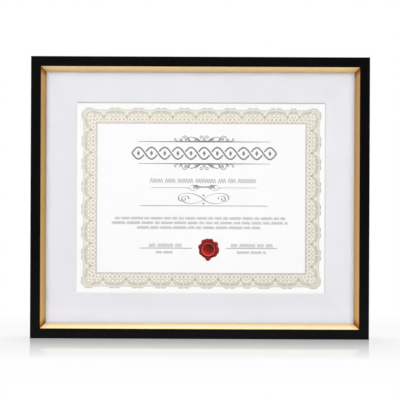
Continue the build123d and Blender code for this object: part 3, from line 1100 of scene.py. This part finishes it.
def divider_knot(marks):
    """Two round loops with a curl and a leaf in each, joined by a braid that sags between them."""
    def on_line(path, hand=1):
        return [(heading_u + hand * u, divider_level + v) for u, v in path]

    loop = oval(*knot_loop, ring_steps)
    winding = curl((11.0, 0.5), 1.9, 60, 0.95)
    leaf = bezier((6.2, 1.2), (7.8, 3.2), (9.2, 2.4), (10.4, -0.4))
    sprout = bezier((5.0, 0.6), (6.0, -1.4), (7.6, -1.4), (8.6, 1.4))
    tail = bezier((15.2, -0.6), (16.4, -1.7), (17.6, 0.6), (19.6, 0.0))
    for hand in (-1, 1):
        marks.stroke(on_line(loop, hand), knot_loop_line, closed=True)
        for path, thick in ((winding, 0.9), (leaf, 1.8), (sprout, 1.2), (tail, 0.7)):
            line = on_line(path, hand)
            marks.stroke(line, swelled(line, knot_thin, thick))
    for strand in (-1, 1):
        band = []
        for turn in spread(1, knot_braid_steps):
            sway = strand * knot_braid_sway * sin(knot_braid_turns * pi * turn)
            band.append((knot_braid_half * turn, knot_braid_level + knot_braid_sag * turn**2 + sway))
        marks.stroke(on_line(band), knot_braid_line)


def nib_widths(path, thin=0.35, thick=1.25, slant=20):
    """Widths of a stroke from a broad nib held at a slant."""
    leans = [atan2(run_v, run_u) - radians(slant) for run_u, run_v in path_runs(path)]
    return [thin + (thick - thin) * sin(lean) ** 2 for lean in leans]


def swash(marks):
    """Pen flourish over the line for the name: crossing strokes that end in curls.

    Places are shares of its half width along, and millimetres up.
    """
    u, v = swash_middle
    strokes = [
        [(-0.9, 1.0), (-0.95, 8), (-0.3, 9), (0, 0)],
        [(0, 0), (0.22, -6.5), (0.75, -6), (0.78, 0.5)],
        [(0.78, 0.5), (0.78, 5), (0.5, 4), (0.53, 0.8)],
        [(-0.9, 1.0), (-0.88, -3.4), (-0.62, -2.6), (-0.66, 0.9)],
    ]
    for points in strokes:
        for hand in (1, -1):
            line = bezier(*[(u + hand * along * swash_half_width, v + up) for along, up in points])
            marks.stroke(line, nib_widths(line))
    for side in (-1, 1):
        for along in (0.53, 0.66):
            marks.dot((u + side * along * swash_half_width, v + 0.8), 0.7)
    for height in (4.2, -4.4):
        marks.spot((u, v + height), 1.5, 1.1, points=4)


def wavy_lines(marks):
    """Rows of short wavy dashes of uneven length."""
    rng = random.Random(dash_seed)
    for left, right, level, height, stroke in dash_rows:
        period = wave_share * height
        while right - left > 2 * period:
            waves = min(rng.randint(*wave_counts), int((right - left) / period))
            path = []
            for i in range(waves * wave_steps + 1):
                sway = -cos(2 * pi * i / wave_steps) * height / 2
                path.append((left + period * i / wave_steps, level + sway))
            marks.stroke(path, stroke)
            left += (waves + dash_gap) * period


def print_sheet():
    """Everything printed inside the border: rules, ornaments and rows of wavy dashes."""
    dark = ink("ink_grey", (140, 141, 137), (126, 127, 123))
    pale = ink("ink_pale_grey", (176, 175, 174), (164, 163, 162))
    fine = ink("ink_writing", (150, 147, 147), (136, 133, 134))
    pieces = [(dark, heading_braid), (dark, ornaments), (pale, rules), (dark, swash), (fine, wavy_lines)]
    for material, draw in pieces:
        print_piece(draw.__name__, edge_lift, material, draw)


def seal_turns(angle):
    """Each lobe of the seal, as its turn from an angle and how far out its middle is."""
    return [(angle - radians(lobe), reach - seal_lobe_radius) for lobe, reach in seal_lobes]


def seal_reach(angle):
    """Radius of the seal's outline at an angle: the disc and the lobes run smoothly together."""
    reaches = [seal_disc]
    for turn, out in seal_turns(angle):
        room = seal_lobe_radius**2 - (out * sin(turn)) ** 2
        if room > 0 and cos(turn) > 0:
            reaches.append(out * cos(turn) + sqrt(room))
    return seal_blend * log(sum(exp(reach / seal_blend) for reach in reaches))


def seal_bulge(radius, angle):
    """How plump the wax is at a place: 1 in the middle of a lobe."""
    gaps = [radius**2 + out**2 - 2 * radius * out * cos(turn) for turn, out in seal_turns(angle)]
    return exp(-min(gaps) / seal_plump**2)


def seal_height(radius, reach, angle, top):
    """Height of the wax: a dish, a raised ring, and a plump rim that rolls over at the edge."""
    lip = top - seal_ring_height
    if radius < seal_dish:
        return seal_floor + (lip - seal_floor) * (radius / seal_dish) ** seal_dish_power
    if radius < seal_ring:
        share = (radius - seal_dish) / (seal_ring - seal_dish)
        return lip + seal_ring_height * sin(pi * share)
    share = (radius - seal_ring) / (reach - seal_ring)
    folds = sum(height * sin(count * angle + lean * share) for height, count, lean in seal_folds)
    crown = seal_rim + seal_swell * seal_bulge(radius, angle) + folds * sin(pi * share)
    fall = min(share / seal_valley, 1)
    joined = lip + (crown - lip) * fall
    groove = seal_groove * sin(pi * fall)
    past = max((share - seal_roll) / (1 - seal_roll), 0)
    roll = sqrt(max(1 - past**seal_roll_power, 0))
    return (joined - groove) * roll


def wax_seal():
    """Run wax with a stamped dish, on the sheet where the model's seal is."""
    low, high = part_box("wax_seal")
    top = (high.y - low.y) / MM
    middle = (sheet_x + seal_middle[0] * MM, high.y, sheet_z + seal_middle[1] * MM)
    around = seal_around
    inner = [seal_dish * share for share in even(seal_dish_rows)[1:]]
    inner += [seal_dish + (seal_ring - seal_dish) * share for share in even(seal_ring_rows)[1:]]
    rim_shares = [sin(pi / 2 * share) for share in even(seal_rim_rows)[1:]]
    angles = [2 * pi * i / around for i in range(around)]
    reaches = [seal_reach(angle) for angle in angles]
    rings = [[radius] * around for radius in inner]
    rings += [[seal_ring + (reach - seal_ring) * share for reach in reaches] for share in rim_shares]
    corners = [(0.0, -seal_floor * MM, 0.0)]
    for ring in rings:
        for radius, reach, angle in zip(ring, reaches, angles):
            height = seal_height(radius, reach, angle, top)
            corners.append((radius * cos(angle) * MM, -height * MM, radius * sin(angle) * MM))
    faces = [(0, 1 + i, 1 + (i + 1) % around) for i in range(around)]
    for row in range(len(rings) - 1):
        for i in range(around):
            a = 1 + row * around + i
            b = 1 + row * around + (i + 1) % around
            faces.append((a, b, b + around, a + around))
    last = len(corners) - around
    faces.append(tuple(range(last, last + around)))
    piece = make_piece("seal_wax", corners, faces, red_wax(), "frame")
    piece.matrix_world.translation = middle
    for face in piece.data.polygons:
        face.use_smooth = True
    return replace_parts(piece, "wax_seal")


def dress_model():
    """Gives every node of the model the material of its slot, with the grain along each rail."""
    makers = (
        clear_glass, mat_paper, certificate_paper, paper_tape, white_board,
        corrugated_board, brown_hardboard, black_hardboard, black_rubber,
    )
    materials = {make.__name__: make() for make in makers}
    steels = [
        ("zinc_steel", (176, 178, 182), (204, 205, 207), 0.34, 0.5),
        ("nickel_steel", (196, 190, 180), (216, 211, 202), 0.16, 0.3),
    ]
    for steel in steels:
        materials[steel[0]] = plated_steel(*steel)
    for make in (black_lacquer, gold_foil):
        for ending, stretch in (("_x", grain_x), ("_z", grain_z)):
            name = make.__name__ + ending
            materials[name] = make(name, stretch)
    for part in frame["record"]["subparts"]:
        name, slot = part["node"], part["material_slot"]
        ending = "_z" if name.endswith(("_left", "_right")) else "_x"
        material = materials.get(slot) or materials.get(slot + ending)
        if material is not None:
            mesh = frame["nodes"][name].data
            mesh.materials.clear()
            mesh.materials.append(material)


def make_floor():
    ends = (-floor_half, floor_half)
    mesh = bpy.data.meshes.new("floor")
    mesh.from_pydata([(x, y, 0.0) for x in ends for y in ends], [], [(0, 2, 3, 1)])
    mesh.materials.append(floor_material())
    floor = add_object("floor", mesh)
    floor.location.z = cad_box[0].z - floor_gap * MM


def soft_light(name, share, distance, azimuth, elevation, size, in_gloss):
    """Square lamp that adds its share of white on a face turned to it as the front of the frame is."""
    turn = radians(azimuth)
    rise = radians(elevation)
    toward = (sin(turn) * cos(rise), -cos(turn) * cos(rise), sin(rise))
    lamp = bpy.data.lights.new(name, "AREA")
    lamp.size = size
    lamp.energy = share * (pi * distance) ** 2 / abs(toward[1])
    holder = add_object(name, lamp)
    holder.visible_glossy = in_gloss
    holder.visible_transmission = in_gloss
    holder.location = (toward[0] * distance, toward[1] * distance, middle_z + toward[2] * distance)
    holder.rotation_euler = (pi / 2 - rise, 0, turn)


def make_world():
    """White to the camera. Gloss and glass see a room, white behind the frame and dim behind the camera."""
    world = bpy.data.worlds.new("studio")
    bpy.context.scene.world = world
    world.use_nodes = True
    world.node_tree.nodes.clear()
    nodes = Nodes(world.node_tree)
    path = nodes.add("LightPath").outputs
    x, y, z = nodes.axes(nodes.add("TexCoord").outputs["Generated"])
    levels = []
    for direction, room in ((y, room_by_depth), (z, room_by_height)):
        stops = [(0.5 + at / 2, grey(level)) for at, level in room]
        levels.append(nodes.ramp(nodes.span(direction, 0.0, 1.0, start=-1.0, end=1.0), *stops))
    lit = nodes.maths("MAXIMUM", *levels)
    fill = nodes.add("Background", {"Color": grey(1.0), "Strength": sky_fill})
    mirrored_room = nodes.add("Background", {"Color": lit})
    backdrop = nodes.add("Background", {"Color": grey(1.0)})
    clear = nodes.maths("MAXIMUM", path["Is Glossy Ray"], path["Is Transmission Ray"])
    nodes.output = nodes.add("OutputWorld")
    nodes.surface = fill.outputs["Background"]
    nodes.cover(clear, mirrored_room)
    nodes.cover(path["Is Camera Ray"], backdrop)


def make_camera():
    lens = bpy.data.cameras.new("camera")
    lens.sensor_width = sensor_width
    lens.lens = sensor_width * camera_distance / view_width
    lens.clip_end = camera_sight
    camera = add_object("camera", lens)
    camera.location = (0.0, cad_box[0].y - camera_distance, camera_height)
    camera.rotation_euler = (pi / 2, -camera_roll, 0)
    bpy.context.scene.camera = camera


make_camera()
for lamp_values in lamps:
    soft_light(*lamp_values)
make_world()
make_floor()
dress_model()
print_border()
print_sheet()
wax_seal()

bpy.context.scene.view_settings.view_transform = "Standard"
